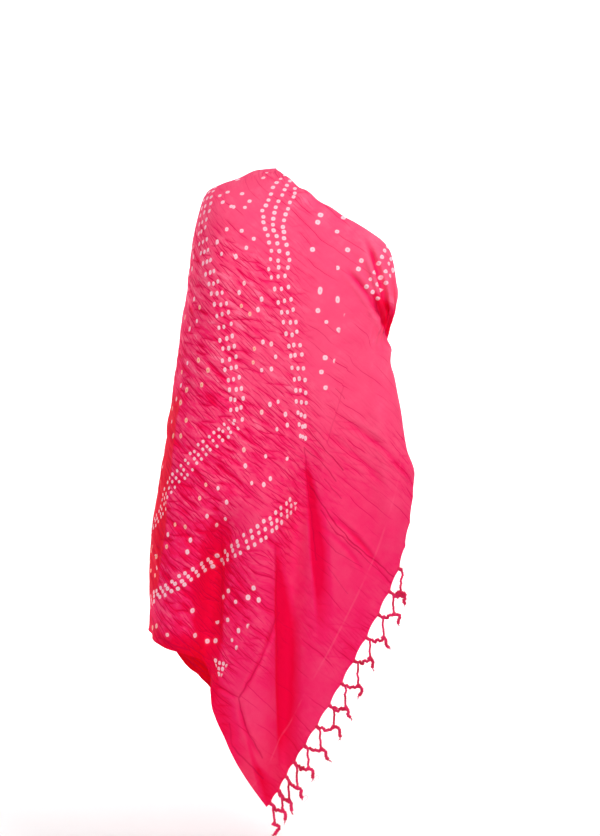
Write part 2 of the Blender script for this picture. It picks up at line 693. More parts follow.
    def _shade(self) -> None:
        """Work out the dye's depth and the share of scarlet."""
        part = {name: self._zone(name) for name in self.zones}
        part["low_arm"] = part["low"] * part["arm"]
        part["fold"] = np.where(self.front, part["side_fold"], 1.0) * part["trough"]
        part["turned"], part["hollow"] = self.turned, self.hollow_dye
        part["scarlet"] = (part["side_scarlet"] + part["chest_scarlet"]) * self.hollow_dye
        raised = np.clip(self.height / self.height_dye, *self.height_dye_limits)
        self.dye_depth = (self.ground_dye - raised
                          + self.crease_dye * np.maximum(-self.creased, 0)
                          + sum(share * part[name] for name, share in self.dye_of.items()))
        self.shade = sum(share * part[name] for name, share in self.shade_of.items())

    @staticmethod
    def _normals(points: np.ndarray) -> np.ndarray:
        """Unit normals of a grid, away from the wearer."""
        return unit(np.cross(np.gradient(points, axis=1), np.gradient(points, axis=0)))


@dataclass
class TieChart:
    """Where the tied dots lie on the cloth: zigzag lines about the cloth's middle."""

    middle: float = 0.42            # across the cloth, where the zigzags point to the fringe
    slope: float = math.radians(40)
    upper_stretch: float = 1.275
    lower_stretch: float = 0.763
    shoulder_shift: float = 0.77
    shoulder_start: float = 0.17
    repeat: float = 0.15            # chart distance between two lines
    keep: float = 0.032             # each way from a line, the chart is true to size
    lower_crowding: float = 1.40    # dots lie closer along the lower zigzags
    row_gap: float = 0.0132
    shoulder_rows: float = 0.74     # rows lie further apart over the shoulder
    lower_rows: float = 0.34        # and closer together lower down
    second_crowding: float = 0.70   # the second line's dots are the closest
    second_line: int = 3
    crushed_dot: tuple = (1.24, 1.24, 0.83)     # the crush makes the dots taller than wide
    flat_dot: tuple = (0.90, 0.90, 0.92)
    bend: Callable = field(default_factory=lambda: size_curve(
        Size(0.00, -0.004), Size(0.09, 0.000), Size(0.12, 0.008), Size(0.15, 0.018),
        Size(0.19, 0.020), Size(0.23, 0.016), Size(0.27, 0.012), Size(0.31, 0.006),
        Size(0.35, -0.004), Size(0.40, -0.004), Size(0.47, 0.000), Size(0.55, 0.012),
        Size(0.62, 0.016), Size(0.70, 0.004), Size(0.94, 0.008)))
    second_bend: Callable = field(default_factory=lambda: size_curve(
        Size(0.00, -0.012), Size(0.18, -0.012), Size(0.215, 0.000), Size(0.25, 0.016),
        Size(0.35, 0.018), Size(0.395, 0.002), Size(0.43, -0.014), Size(0.94, -0.014)))
    lines: tuple = (-0.20, 0.0, 0.197, 0.343, 0.500, 0.650, 0.800, 0.950, 1.10, 1.25)
    p_limits: tuple = (0.45, 1.7)       # how far the cloth may draw a dot out
    q_limits: tuple = (-1.2, 1.2)
    r_limits: tuple = (0.6, 1.7)
    bare_x: tuple = (-0.040, 0.030)     # in front, a fold hides the dots here
    bare_z: tuple = (-0.632, -0.520)
    bare_blend: float = 0.006
    field_start: Callable = field(default_factory=lambda: size_curve(
        Size(0.00, 0.262), Size(0.05, 0.276), Size(0.09, 0.325), Size(0.14, 0.332),
        Size(0.20, 0.308), Size(0.32, 0.300), Size(0.42, 0.276), Size(0.50, 0.262),
        Size(0.65, 0.250), Size(0.79, 0.252), Size(0.865, 0.254), Size(0.895, 0.340),
        Size(0.94, 0.360)))

    def coordinates(self, across: np.ndarray, length: np.ndarray) -> np.ndarray:
        """Chart of the dots.

        Args:
            across: Metres from the upper selvage.
            length: Metres from the front fringe.

        Returns:
            Distance along the lines and distance across them, in the last axis.
        """
        offset = across - self.middle
        spread = np.abs(np.where(offset < 0, self.upper_stretch, self.lower_stretch) * offset)
        rise = length + self.shoulder_shift * np.maximum(self.shoulder_start - across, 0)
        along = spread * math.cos(self.slope) + rise * math.sin(self.slope)
        along = along + (self.lower_crowding - 1) * np.clip(offset, 0, 0.36)
        off = rise * math.cos(self.slope) - spread * math.sin(self.slope) + self.bend(across)
        off = off + self.second_bend(across) * smoothstep(0.20, 0.32, off)
        keys, values = [], []
        for number, line in enumerate(self.lines):
            keys += [line - self.keep, line + self.keep]
            values += [number * self.repeat - self.keep, number * self.repeat + self.keep]
        charted = smooth_table(np.array(keys), np.array(values))(off)
        return np.stack([along, charted], axis=-1)

    def gap(self, across: np.ndarray) -> np.ndarray:
        """Distance between the three rows of a line: wide on the shoulder, narrow below."""
        closer = ((self.shoulder_rows - 1) * smoothstep(0.24, 0.10, across)
                  + self.lower_rows * smoothstep(-0.17, 0.0, across - self.middle))
        return self.row_gap / (1 + closer)

    def crowding(self, across: np.ndarray, length: np.ndarray) -> np.ndarray:
        """Extra distance along the lower half of the second zigzag."""
        off = self.coordinates(across, length)[..., 1]
        second = smoothstep(0.070, 0.055, np.abs(off - self.second_line * self.repeat))
        return self.second_crowding * np.clip(across - self.middle, 0, 0.30) * second

    def in_field(self, grid: ClothGrid) -> np.ndarray:
        """Above zero where the cloth carries dots."""
        bare = grid.front * 1.0
        for axis, (low, high) in ((0, self.bare_x), (2, self.bare_z)):
            place = grid.base[..., axis]
            bare *= (smoothstep(low, low + self.bare_blend, place)
                     * smoothstep(high, high - self.bare_blend, place))
        return grid.from_end - self.field_start(grid.across_grid) - 0.4 * bare

    def numbers(self, grid: ClothGrid) -> dict:
        """Numbers that the cloth's material reads at each point, by name."""
        p, q, r = self.metric(grid)
        return {"crowding": self.crowding(grid.across_grid, grid.length),
                "row_gap": self.gap(grid.across_grid),
                "metric_p": p, "metric_q": q, "metric_r": r,
                "from_end": grid.from_end, "depth_of_dye": grid.dye_depth,
                "crushed": grid.crushed, "shade": grid.shade, "in_field": self.in_field(grid)}

    def metric(self, grid: ClothGrid) -> tuple:
        """Turns a step on the chart into metres on the cloth, for upright dots.

        Args:
            grid: The whole cloth's grid.

        Returns:
            Three grids p, q, r: a chart step (a, o) is (p a + q o, r o) on the cloth.
        """
        charted = self.coordinates(grid.across_grid, grid.length)
        flat = smoothstep(0.50, 0.22, grid.crushed)
        flat = np.maximum(flat, smoothstep(-0.66, -0.80, grid.base[..., 2]))[..., None]
        shape = np.array(self.crushed_dot) * (1 - flat) + np.array(self.flat_dot) * flat
        e_across = np.gradient(grid.base, axis=0) * shape
        e_along = np.gradient(grid.base, axis=1) * shape
        g11, g22, g12 = (np.sum(first * second, -1) for first, second in (
            (e_across, e_across), (e_along, e_along), (e_across, e_along)))
        area = np.maximum(g11 * g22 - g12 * g12, 1e-14)
        steps = [np.gradient(charted[..., axis]) for axis in range(2)]

        def product(first: list, second: list) -> np.ndarray:
            """Product of two gradients on the cloth."""
            return (g22 * first[0] * second[0] - g12 * (first[0] * second[1]
                    + first[1] * second[0]) + g11 * first[1] * second[1]) / area

        m11, m22 = (product(step, step) for step in steps)
        m12 = product(*steps)
        m12 = np.clip(m12, -0.8, 0.8) * np.minimum(1, np.sqrt(m11 * m22))
        spread = np.maximum(m11 * m22 - m12 * m12, 0.15)
        p = np.clip(np.sqrt(m22 / spread), *self.p_limits)
        q = np.clip(-m12 / spread / p, *self.q_limits)
        r = np.clip(np.sqrt(np.maximum(m11 / spread - q * q, 0.0)), *self.r_limits)
        return p, q, r


# -------------------------------------------------------------- node short hand
def arithmetic(operation: str, swapped: bool = False) -> Callable:
    """Make a method of Term that adds one Math node.

    Args:
        operation: The node's operation.
        swapped: Whether the other value comes first.

    Returns:
        The method.
    """
    def method(term: "Term", *others: object) -> "Term":
        """Add the node."""
        return term.pen.math(operation, *((*others, term) if swapped else (term, *others)))

    return method


class Term:
    """A number or vector that a node gives; numbers take plain arithmetic."""

    def __init__(self, pen: "NodePen", socket: bpy.types.NodeSocket) -> None:
        """Keep the tree's pen and the socket that gives the value."""
        self.pen, self.socket = pen, socket

    __add__, __radd__ = arithmetic("ADD"), arithmetic("ADD", swapped=True)
    __sub__, __rsub__ = arithmetic("SUBTRACT"), arithmetic("SUBTRACT", swapped=True)
    __mul__, __rmul__ = arithmetic("MULTIPLY"), arithmetic("MULTIPLY", swapped=True)
    __truediv__, __pow__ = arithmetic("DIVIDE"), arithmetic("POWER")
    __abs__, __round__, __floor__ = (
        arithmetic("ABSOLUTE"), arithmetic("ROUND"), arithmetic("FLOOR"))
    sine, cosine = arithmetic("SINE"), arithmetic("COSINE")


class NodePen:
    """Short hand for drawing a node tree."""

    def __init__(self, tree: bpy.types.NodeTree) -> None:
        """Draw in a tree."""
        self.tree = tree

    def feed(self, socket: bpy.types.NodeSocket, value: object) -> None:
        """Link a socket to a term or another socket, or give it a value."""
        value = value.socket if isinstance(value, Term) else value
        if isinstance(value, bpy.types.NodeSocket):
            self.tree.links.new(value, socket)
        else:
            socket.default_value = value

    def node(self, kind: str, inputs: dict | None = None, **settings: object) -> bpy.types.Node:
        """Add a node, set its options, and feed its inputs by name or number."""
        node = self.tree.nodes.new(kind)
        for key, value in settings.items():
            setattr(node, key, value)
        for key, value in (inputs or {}).items():
            self.feed(node.inputs[key], value)
        return node

    def term(self, node: bpy.types.Node, output: int | str = 0) -> Term:
        """What a node gives."""
        return Term(self, node.outputs[output])

    def math(self, operation: str, *values: object) -> Term:
        """One Math node."""
        return self.term(self.node("ShaderNodeMath", dict(enumerate(values)),
                                   operation=operation))

    def vector_math(self, operation: str, first: object, second: object = None) -> Term:
        """One Vector Math node; SCALE takes a number second."""
        inputs = {0: first}
        if second is not None:
            inputs["Scale" if operation == "SCALE" else 1] = second
        return self.term(self.node("ShaderNodeVectorMath", inputs, operation=operation),
                         "Value" if operation in ("DOT_PRODUCT", "LENGTH") else "Vector")

    def split(self, vector: object) -> list:
        """Three numbers of a vector or colour."""
        node = self.node("ShaderNodeSeparateXYZ", {0: vector})
        return [Term(self, socket) for socket in node.outputs]

    def vector(self, x: object, y: object, z: object = 0.0) -> Term:
        """Combine three numbers."""
        return self.term(self.node("ShaderNodeCombineXYZ", {0: x, 1: y, 2: z}))


class ShaderPen(NodePen):
    """Short hand for a material."""

    def __init__(self, name: str) -> None:
        """Start an empty material."""
        self.material = bpy.data.materials.new(name)
        self.material.use_nodes = True
        super().__init__(self.material.node_tree)
        self.tree.nodes.clear()
        self.shader = self.node("ShaderNodeBsdfPrincipled")
        self.node("ShaderNodeOutputMaterial", {"Surface": self.shader.outputs["BSDF"]})

    def finish(self, inputs: dict) -> bpy.types.Material:
        """Feed the shader by the names of its inputs, and give the material."""
        for key, value in inputs.items():
            self.feed(self.shader.inputs[key], value)
        return self.material

    def ramp(self, value: object, low: float, high: float, straight: bool = False) -> Term:
        """Step from 0 at low to 1 at high, smooth or straight."""
        return self.term(self.node(
            "ShaderNodeMapRange", {"Value": value, "From Min": low, "From Max": high},
            interpolation_type="LINEAR" if straight else "SMOOTHSTEP"), "Result")

    def near(self, distance: object, low: float, high: float) -> Term:
        """Step from 1 at low down to 0 at high."""
        return 1.0 - self.ramp(distance, low, high)

    def mix(self, share: object, first: object, second: object) -> Term:
        """Mix two colours."""
        return self.term(self.node("ShaderNodeMix", {0: share, 6: first, 7: second},
                                   data_type="RGBA"), 2)

    def uv(self, name: str) -> list:
        """Both coordinates of a named UV map."""
        return self.split(self.node("ShaderNodeUVMap", uv_map=name).outputs["UV"])[:2]

    def number(self, name: str) -> Term:
        """A named number of the mesh."""
        return self.term(self.node("ShaderNodeAttribute", attribute_name=name), "Fac")

    def noise(self, vector: object, scale: float, detail: float = 2.0, rough: float = 0.5,
              output: str = "Fac") -> Term:
        """Noise from 0 to 1, as one number or as a colour of three."""
        return self.term(self.node("ShaderNodeTexNoise", {
            "Vector": vector, "Scale": scale, "Detail": detail, "Roughness": rough}), output)

    def cell_random(self, x: object, y: object, z: object) -> list:
        """Three random numbers for each whole-number cell."""
        return self.split(self.term(self.node(
            "ShaderNodeTexWhiteNoise", {"Vector": self.vector(x, y, z)},
            noise_dimensions="3D"), "Color"))

    def bump(self, height: object, distance: float, strength: float,
             normal: object = None) -> Term:
        """Bump node in metres, over another one."""
        inputs = {"Strength": strength, "Distance": distance, "Height": height}
        if normal is not None:
            inputs["Normal"] = normal
        return self.term(self.node("ShaderNodeBump", inputs), "Normal")

    def object_position(self) -> Term:
        """Object coordinates."""
        return self.term(self.node("ShaderNodeTexCoord"), "Object")


# --------------------------------------------------------------------- finishes
@dataclass(frozen=True)
class TiedCotton:
    """Hot-pink cotton with rows and rings of pale tied dots."""

    bright: tuple = (0.98, 0.165, 0.295, 1.0)
    lit: tuple = (0.96, 0.086, 0.200, 1.0)
    full: tuple = (0.93, 0.014, 0.125, 1.0)
    deep: tuple = (0.89, 0.0, 0.054, 1.0)
    scarlet: tuple = (0.84, 0.0, 0.014, 1.0)
    shadow: tuple = (0.62, 0.0, 0.050, 1.0)
    dot: tuple = (1.0, 0.64, 0.73, 1.0)
    dot_core: tuple = (0.95, 0.26, 0.36, 1.0)
    dot_amber: tuple = (1.0, 0.42, 0.25, 1.0)
    dot_gold: tuple = (0.84, 0.19, 0.045, 1.0)
    stripe: tuple = (0.98, 0.10, 0.22, 1.0)
    halo: tuple = (1.0, 0.16, 0.28, 1.0)
    shadow_share: float = 0.85      # how much of each colour shows
    stripe_share: float = 0.30
    halo_share: float = 0.14
    dot_share: float = 0.93
    amber_share: float = 0.75
    core_share: float = 0.58
    gold_core_share: float = 0.3    # on top of core_share, in a gold dot
    repeat: float = 0.15
    dot_pitch: float = 0.0205
    dot_size: float = 0.0036
    dot_power: float = 2.4          # 2 is round, more is nearer to a square
    dot_edge: tuple = (0.82, 1.15)  # in dot radii
    ring_pitch: float = 0.112
    ring_radius: float = 0.0300
    ring_dots: float = 7.0
    stripe_at: float = 0.055
    streaks: float = 2.7            # how strongly the dye follows the crinkles
    drift: float = 0.009            # how far the fine creases stray
    stroke_drift: float = 0.008     # and the placed ones
    weft_pitch: float = 0.0011
    warp_pitch: float = 0.0009
    bumps: tuple = ((0.0010, 1.0), (0.0008, 0.9), (0.00012, 0.35))  # crinkle, pucker, weave
    roughness: float = 0.88
    gloss: float = 0.06
    sheen: float = 0.04
    sheen_roughness: float = 0.45
    sheen_tint: tuple = (1.0, 0.15, 0.30, 1.0)
    line_layers: tuple = (
        LineLayer(1.0, 92.0, 14.0, 0.46, 0.00, 0.0011, 1.00),
        LineLayer(4.0, 165.0, 22.0, 0.45, 0.20, 0.0009, 0.80),
        LineLayer(8.0, 56.0, 20.0, 0.52, -0.50, 0.0010, 0.85),
        LineLayer(12.0, 44.0, 8.0, 0.48, 0.06, 0.0011, 0.90))
    strokes: tuple = (
        Stroke(-0.011, -0.491, 0.059, -0.570, 0.0021, 0.90),
        Stroke(-0.016, -0.526, 0.024, -0.562, 0.0019, 0.80),
        Stroke(0.024, -0.562, 0.045, -0.591, 0.0019, 0.70),
        Stroke(-0.003, -0.483, 0.022, -0.510, 0.0017, 0.60),
        Stroke(-0.003, -0.451, 0.014, -0.468, 0.0015, 0.50),
        Stroke(0.045, -0.414, 0.062, -0.434, 0.0015, 0.60),
        Stroke(-0.043, -0.531, -0.020, -0.549, 0.0017, 0.60),
        Stroke(-0.049, -0.545, -0.026, -0.560, 0.0017, 0.60),
        Stroke(-0.034, -0.614, -0.011, -0.639, 0.0017, 0.50),
        Stroke(-0.011, -0.593, 0.026, -0.647, 0.0023, 0.80),
        Stroke(0.026, -0.647, 0.068, -0.702, 0.0025, 0.90),
        Stroke(0.068, -0.702, 0.122, -0.744, 0.0023, 0.90),
        Stroke(0.122, -0.744, 0.156, -0.775, 0.0021, 0.80),
        Stroke(0.016, -0.647, 0.047, -0.691, 0.0019, 0.70),
        Stroke(0.047, -0.691, 0.095, -0.731, 0.0021, 0.80),
        Stroke(0.095, -0.731, 0.153, -0.787, 0.0017, 0.60),
        Stroke(0.024, -0.589, 0.055, -0.624, 0.0017, 0.60),
        Stroke(0.012, -0.689, 0.045, -0.725, 0.0017, 0.60),
        Stroke(0.045, -0.725, 0.095, -0.756, 0.0015, 0.50),
        Stroke(0.028, -0.754, 0.068, -0.806, 0.0015, 0.40),
        Stroke(0.028, -0.466, 0.118, -0.531, 0.0030, 0.25),
        Stroke(0.118, -0.531, 0.185, -0.593, 0.0027, 0.30),
        Stroke(0.059, -0.412, 0.028, -0.518, 0.0023, 0.30),
        Stroke(-0.066, -0.844, -0.097, -0.929, 0.0029, 0.50),
        Stroke(-0.097, -0.929, -0.141, -1.005, 0.0030, 0.75),
        Stroke(-0.185, -0.982, -0.141, -1.005, 0.0025, 0.60),
        Stroke(-0.141, -1.007, -0.128, -1.057, 0.0029, 0.70),
        Stroke(-0.128, -1.057, -0.097, -1.120, 0.0027, 0.60),
        Stroke(-0.160, -1.055, -0.153, -1.096, 0.0027, 0.50),
        Stroke(-0.153, -1.096, -0.093, -1.161, 0.0029, 0.70),
        Stroke(-0.298, -0.894, -0.235, -0.917, 0.0030, 0.70),
        Stroke(-0.312, -0.861, -0.293, -0.896, 0.0030, 0.60),
        Stroke(-0.016, -0.526, -0.007, -0.627, 0.0024, 0.55),
        Stroke(-0.007, -0.627, 0.007, -0.742, 0.0026, 0.50),
        Stroke(-0.070, -0.714, -0.068, -0.930, 0.0026, 0.35),
        Stroke(-0.174, -0.700, -0.176, -0.860, 0.0026, 0.45),
        Stroke(0.119, -0.242, 0.144, -0.312, 0.0026, 0.60),
        Stroke(0.128, -0.226, 0.150, -0.296, 0.0024, 0.45),
    )

    def build(self) -> bpy.types.Material:
        """Make the material."""
        pen = ShaderPen("tied_cotton")
        along, off = pen.uv("TieMap")
        lane, length = pen.uv("ClothMap")
        from_end = pen.number("from_end")
        in_field = pen.ramp(pen.number("in_field"), -0.004, 0.004)

        rows_mask, rows_far = self._rows(pen, along, off)
        rings_mask, rings_far, ring_gold = self._rings(pen, along, off)
        mask = pen.math("MAXIMUM", rows_mask, rings_mask) * in_field
        far = pen.math("MINIMUM", rows_far, rings_far)
        gold = pen.ramp(ring_gold, 0.34, 0.40) * rings_mask
        x, _, z = pen.split(pen.object_position())
        place = pen.ramp(from_end, 0.36, 0.50) * (1.0 - pen.math(
            "MAXIMUM", pen.ramp(x, 0.02, 0.06), pen.ramp(z, -0.27, -0.20)))
        gold = gold * place

        crinkle, short, long = self._crinkle(pen, lane, length)
        crushed = pen.number("crushed")
        crevice = pen.math("MAXIMUM", short * pen.ramp(crushed, 0.10, 0.62),
                           long * pen.ramp(crushed, -0.30, 0.50))
        pressed = self._pressed_lines(pen)
        dye = self._dye(pen, lane, length, crevice, crinkle)
        colour = pen.mix(pen.ramp(dye, -0.26, 0.02, straight=True), self.bright, self.lit)
        colour = pen.mix(pen.ramp(dye, 0.0, 0.5, straight=True), colour, self.full)
        colour = pen.mix(pen.ramp(dye, 0.5, 1.0, straight=True), colour, self.deep)
        shade = pen.math("MAXIMUM", crevice * 0.85, pressed)
        colour = pen.mix(pen.math("MINIMUM", pen.number("shade"), 1.0), colour, self.scarlet)
        colour = pen.mix(shade * self.shadow_share, colour, self.shadow)
        stripe = pen.near(abs(from_end - self.stripe_at), 0.001, 0.0026)
        stripe = stripe * pen.ramp(pen.noise(pen.object_position(), 22.0), 0.36, 0.62)
        colour = pen.mix(stripe * self.stripe_share, colour, self.stripe)
        halo = pen.near(far, 0.8, 2.2) * in_field
        colour = pen.mix(halo * self.halo_share, colour, self.halo)
        colour = pen.mix(mask * self.dot_share, colour,
                         pen.mix(gold * self.amber_share, self.dot, self.dot_amber))
        core = pen.near(far, 0.10, 0.50) * in_field
        core_colour = pen.mix(gold, self.dot_core, self.dot_gold)
        core = core * (self.core_share + gold * self.gold_core_share)
        colour = pen.mix(core, colour, core_colour)
        normal = self._relief(pen, crinkle, pressed, lane, length, far, in_field, stripe)
        return pen.finish({
            "Base Color": colour, "Normal": normal, "Roughness": self.roughness,
            "Specular IOR Level": self.gloss, "Sheen Weight": self.sheen,
            "Sheen Roughness": self.sheen_roughness, "Sheen Tint": self.sheen_tint})

    def _crinkle(self, pen: ShaderPen, lane: Term, length: Term) -> tuple:
        """Crushed relief finer than the mesh.

        Each layer lays one wandering, broken line in every lane of a set width.

        Args:
            pen: The material being built.
            lane: Metres across the crinkles.
            length: Metres along them.

        Returns:
            Height, share of the short dark lines, and share of the long ones.
        """
        drift = pen.noise(pen.vector(lane, length, 3.0), 16.0, 2.0, 0.6)
        lane = lane + drift * self.drift
        height, lines = 0.0, []
        for layer in self.line_layers:
            place = (lane + length * layer.tilt) * layer.lanes
            cell = math.floor(place)
            key = cell * 3.7 + layer.seed
            wander = pen.noise(pen.vector(key, length * layer.run, layer.seed), 1.0, 1.0)
            shown = pen.noise(pen.vector(key, length * (layer.run * 1.3), layer.seed + 20.0),
                              1.0, 1.0)
            shown = pen.ramp(shown, layer.cut, layer.cut + 0.13)
            off = abs((place - cell) + wander * 1.2 - 1.1)
            far = off / layer.lanes
            lines.append(shown * (layer.weight * pen.near(
                far, layer.half_width * 0.35, layer.half_width)))
            trough = shown * pen.near(off, 0.0, 0.34)
            height = height - trough * (70.0 / layer.lanes)
        short = pen.math("MAXIMUM", lines[0], pen.math("MAXIMUM", lines[1], lines[2]))
        return height, short, lines[3]

    def _pressed_lines(self, pen: ShaderPen) -> Term:
        """Depth of the crisp crease lines, from 0 to 1, in the wearer's frame."""
        place = pen.object_position()
        drift = pen.vector_math("SUBTRACT", pen.noise(place, 38.0, 1.0, output="Color"),
                                (0.5, 0.5, 0.5))
        place = pen.vector_math("ADD", place, pen.vector_math(
            "MULTIPLY", drift, (self.stroke_drift,) * 3))
        place = pen.vector_math("ADD", place, tuple(SHOULDER_POINT))
        place = pen.vector_math("MULTIPLY", place, (1.0, 0.0, 1.0))
        total = None
        for stroke in self.strokes:
            start = np.array([stroke.x_start, 0.0, stroke.z_start])
            way = np.array([stroke.x_end, 0.0, stroke.z_end]) - start
            off = pen.vector_math("SUBTRACT", place, tuple(start))
            share = pen.vector_math("DOT_PRODUCT", off, tuple(way / float(way @ way)))
            share = pen.math("MAXIMUM", 0.0, pen.math("MINIMUM", 1.0, share))
            reach = pen.vector_math("SCALE", tuple(way), share)
            far = pen.vector_math("LENGTH", pen.vector_math("SUBTRACT", off, reach))
            line = stroke.strength * pen.near(far, 0.0, stroke.half_width)
            total = line if total is None else pen.math("MAXIMUM", total, line)
        return total

    def _dye(self, pen: ShaderPen, lane: Term, length: Term, crevice: Term,
             crinkle: Term) -> Term:
        """Share of the deep colour: more in hollows, crevices and lower down."""
        mottle = pen.noise(pen.vector(lane, length), 26.0, 4.0, 0.6) - 0.5
        share = pen.number("depth_of_dye") + mottle * 0.40
        streak = pen.noise(pen.vector(lane, length * 0.26), 80.0, 4.0, 0.72)
        streak = (streak - 0.5) - crinkle * 0.12
        streak = streak * pen.ramp(pen.number("crushed"), 0.05, 0.9)
        return share + streak * self.streaks + crevice * 0.30

    def _far(self, x: Term, y: Term, size: Term) -> Term:
        """Distance from a dot's centre in dot radii, for a rounded square."""
        square = abs(x) ** self.dot_power + abs(y) ** self.dot_power
        return square ** (1 / self.dot_power) / size

    def _metres(self, pen: ShaderPen, along: Term, off: Term) -> tuple:
        """Chart steps as metres on the cloth."""
        p, q, r = (pen.number("metric_" + letter) for letter in "pqr")
        return along * p + off * q, off * r

    def _rows(self, pen: ShaderPen, along: Term, off: Term) -> tuple:
        """Mask and distance of the triple rows."""
        line = round(off / self.repeat)
        local = off - line * self.repeat
        gap = pen.number("row_gap")
        row = pen.math("MAXIMUM", -1.0, pen.math("MINIMUM", 1.0, round(local / gap)))
        y = local - row * gap
        crowding = pen.number("crowding")
        place = (along + crowding) / self.dot_pitch
        cell = round(place)
        pitch = self.dot_pitch - 0.34 * self.dot_pitch * pen.ramp(crowding, 0.0, 0.012)
        x = (place - cell) * pitch
        random = pen.cell_random(cell, row, line)
        x = x + (random[0] - 0.5) * 0.0050
        y = y + (random[1] - 0.5) * 0.0040
        size = self.dot_size * (0.80 + random[2] * 0.34)
        x, y = self._metres(pen, x, y)
        size = size * (pitch / self.dot_pitch) * 0.5 + self.dot_size * 0.50
        far = self._far(x, y, size)
        return pen.near(far, *self.dot_edge), far

    def _rings(self, pen: ShaderPen, along: Term, off: Term) -> tuple:
        """Mask, distance and gold share of the rings between the rows."""
        band = math.floor(off / self.repeat)
        y = off - (band + 0.5) * self.repeat
        shifted = along / self.ring_pitch + (0.44 - band * 0.07)
        first = pen.math("COMPARE", band, 1.0, 0.1)
        chest = pen.ramp(pen.split(pen.object_position())[2], -0.28, -0.20)
        shifted = shifted + first * (0.23 - chest * 0.26)
        y = y + 0.008 * first
        cell = round(shifted)
        x = (shifted - cell) * self.ring_pitch
        ring_random = pen.cell_random(cell, band, 7.0)
        x = x + (ring_random[0] - 0.5) * 0.014
        arc = 2 * math.pi / self.ring_dots
        sector = round(pen.math("ARCTAN2", y, x) / arc + ring_random[2])
        random = pen.cell_random(sector, cell, band)
        target = self.ring_radius * (0.84 + random[0] * 0.26)
        skew = (random[1] - 0.5) * 0.22
        heading = (sector - ring_random[2]) * arc - skew
        x = x - target * heading.cosine()
        y = y - target * heading.sine()
        size = self.dot_size * (0.88 + random[2] * 0.35)
        x, y = self._metres(pen, x, y)
        far = self._far(x, y, size)
        missing = 9.0 * pen.ramp(random[1], 0.86, 0.88)
        far = far + missing
        return pen.near(far, *self.dot_edge), far, random[0]

    def _relief(self, pen: ShaderPen, crinkle: Term, pressed: Term, lane: Term, length: Term,
                far: Term, in_field: Term, stripe: Term) -> Term:
        """Crinkle, pucker and weave bump, coarse to fine."""
        height = crinkle * pen.ramp(pen.number("crushed"), -0.15, 0.9)
        height = height - pressed * 0.5
        pucker = pen.near(far, 0.15, 2.0) * in_field
        pit = pen.near(far, 0.0, 0.45) * in_field
        pucker = pucker - pit * 0.8
        weft = (length * (2 * math.pi / self.weft_pitch)).sine()
        warp = (lane * (2 * math.pi / self.warp_pitch)).sine()
        normal = None
        weave = weft * warp + stripe
        for relief, (depth, strength) in zip((height, pucker, weave), self.bumps):
            normal = pen.bump(relief, depth, strength, normal)
        return normal


@dataclass(frozen=True)
class TwistedCotton:
    """The fringe's dyed cord."""

    lit: tuple = (0.87, 0.020, 0.125, 1.0)
    deep: tuple = (0.62, 0.004, 0.040, 1.0)
    roughness: float = 0.85
    gloss: float = 0.25
    sheen: float = 0.25
    sheen_roughness: float = 0.4
    sheen_tint: tuple = (1.0, 0.5, 0.6, 1.0)
    fibre_depth: float = 0.0004

    def build(self) -> bpy.types.Material:
        """Make the material."""
        pen = ShaderPen("cord_cotton")
        place = pen.object_position()
        mottle = pen.noise(place, 90.0, 3.0, 0.6)
        colour = pen.mix(pen.ramp(mottle, 0.35, 0.75), self.lit, self.deep)
        fibres = pen.noise(place, 1400.0, 2.0, 0.6)
        return pen.finish({
            "Base Color": colour, "Normal": pen.bump(fibres, self.fibre_depth, 0.5),
            "Roughness": self.roughness, "Specular IOR Level": self.gloss,
            "Sheen Weight": self.sheen, "Sheen Roughness": self.sheen_roughness,
            "Sheen Tint": self.sheen_tint})


# ----------------------------------------------------------------------- pieces
def add_object(name: str, data: bpy.types.ID) -> bpy.types.Object:
    """Put new data into the scene as an object at the origin."""
    item = bpy.data.objects.new(name, data)
    bpy.context.scene.collection.objects.link(item)
    return item


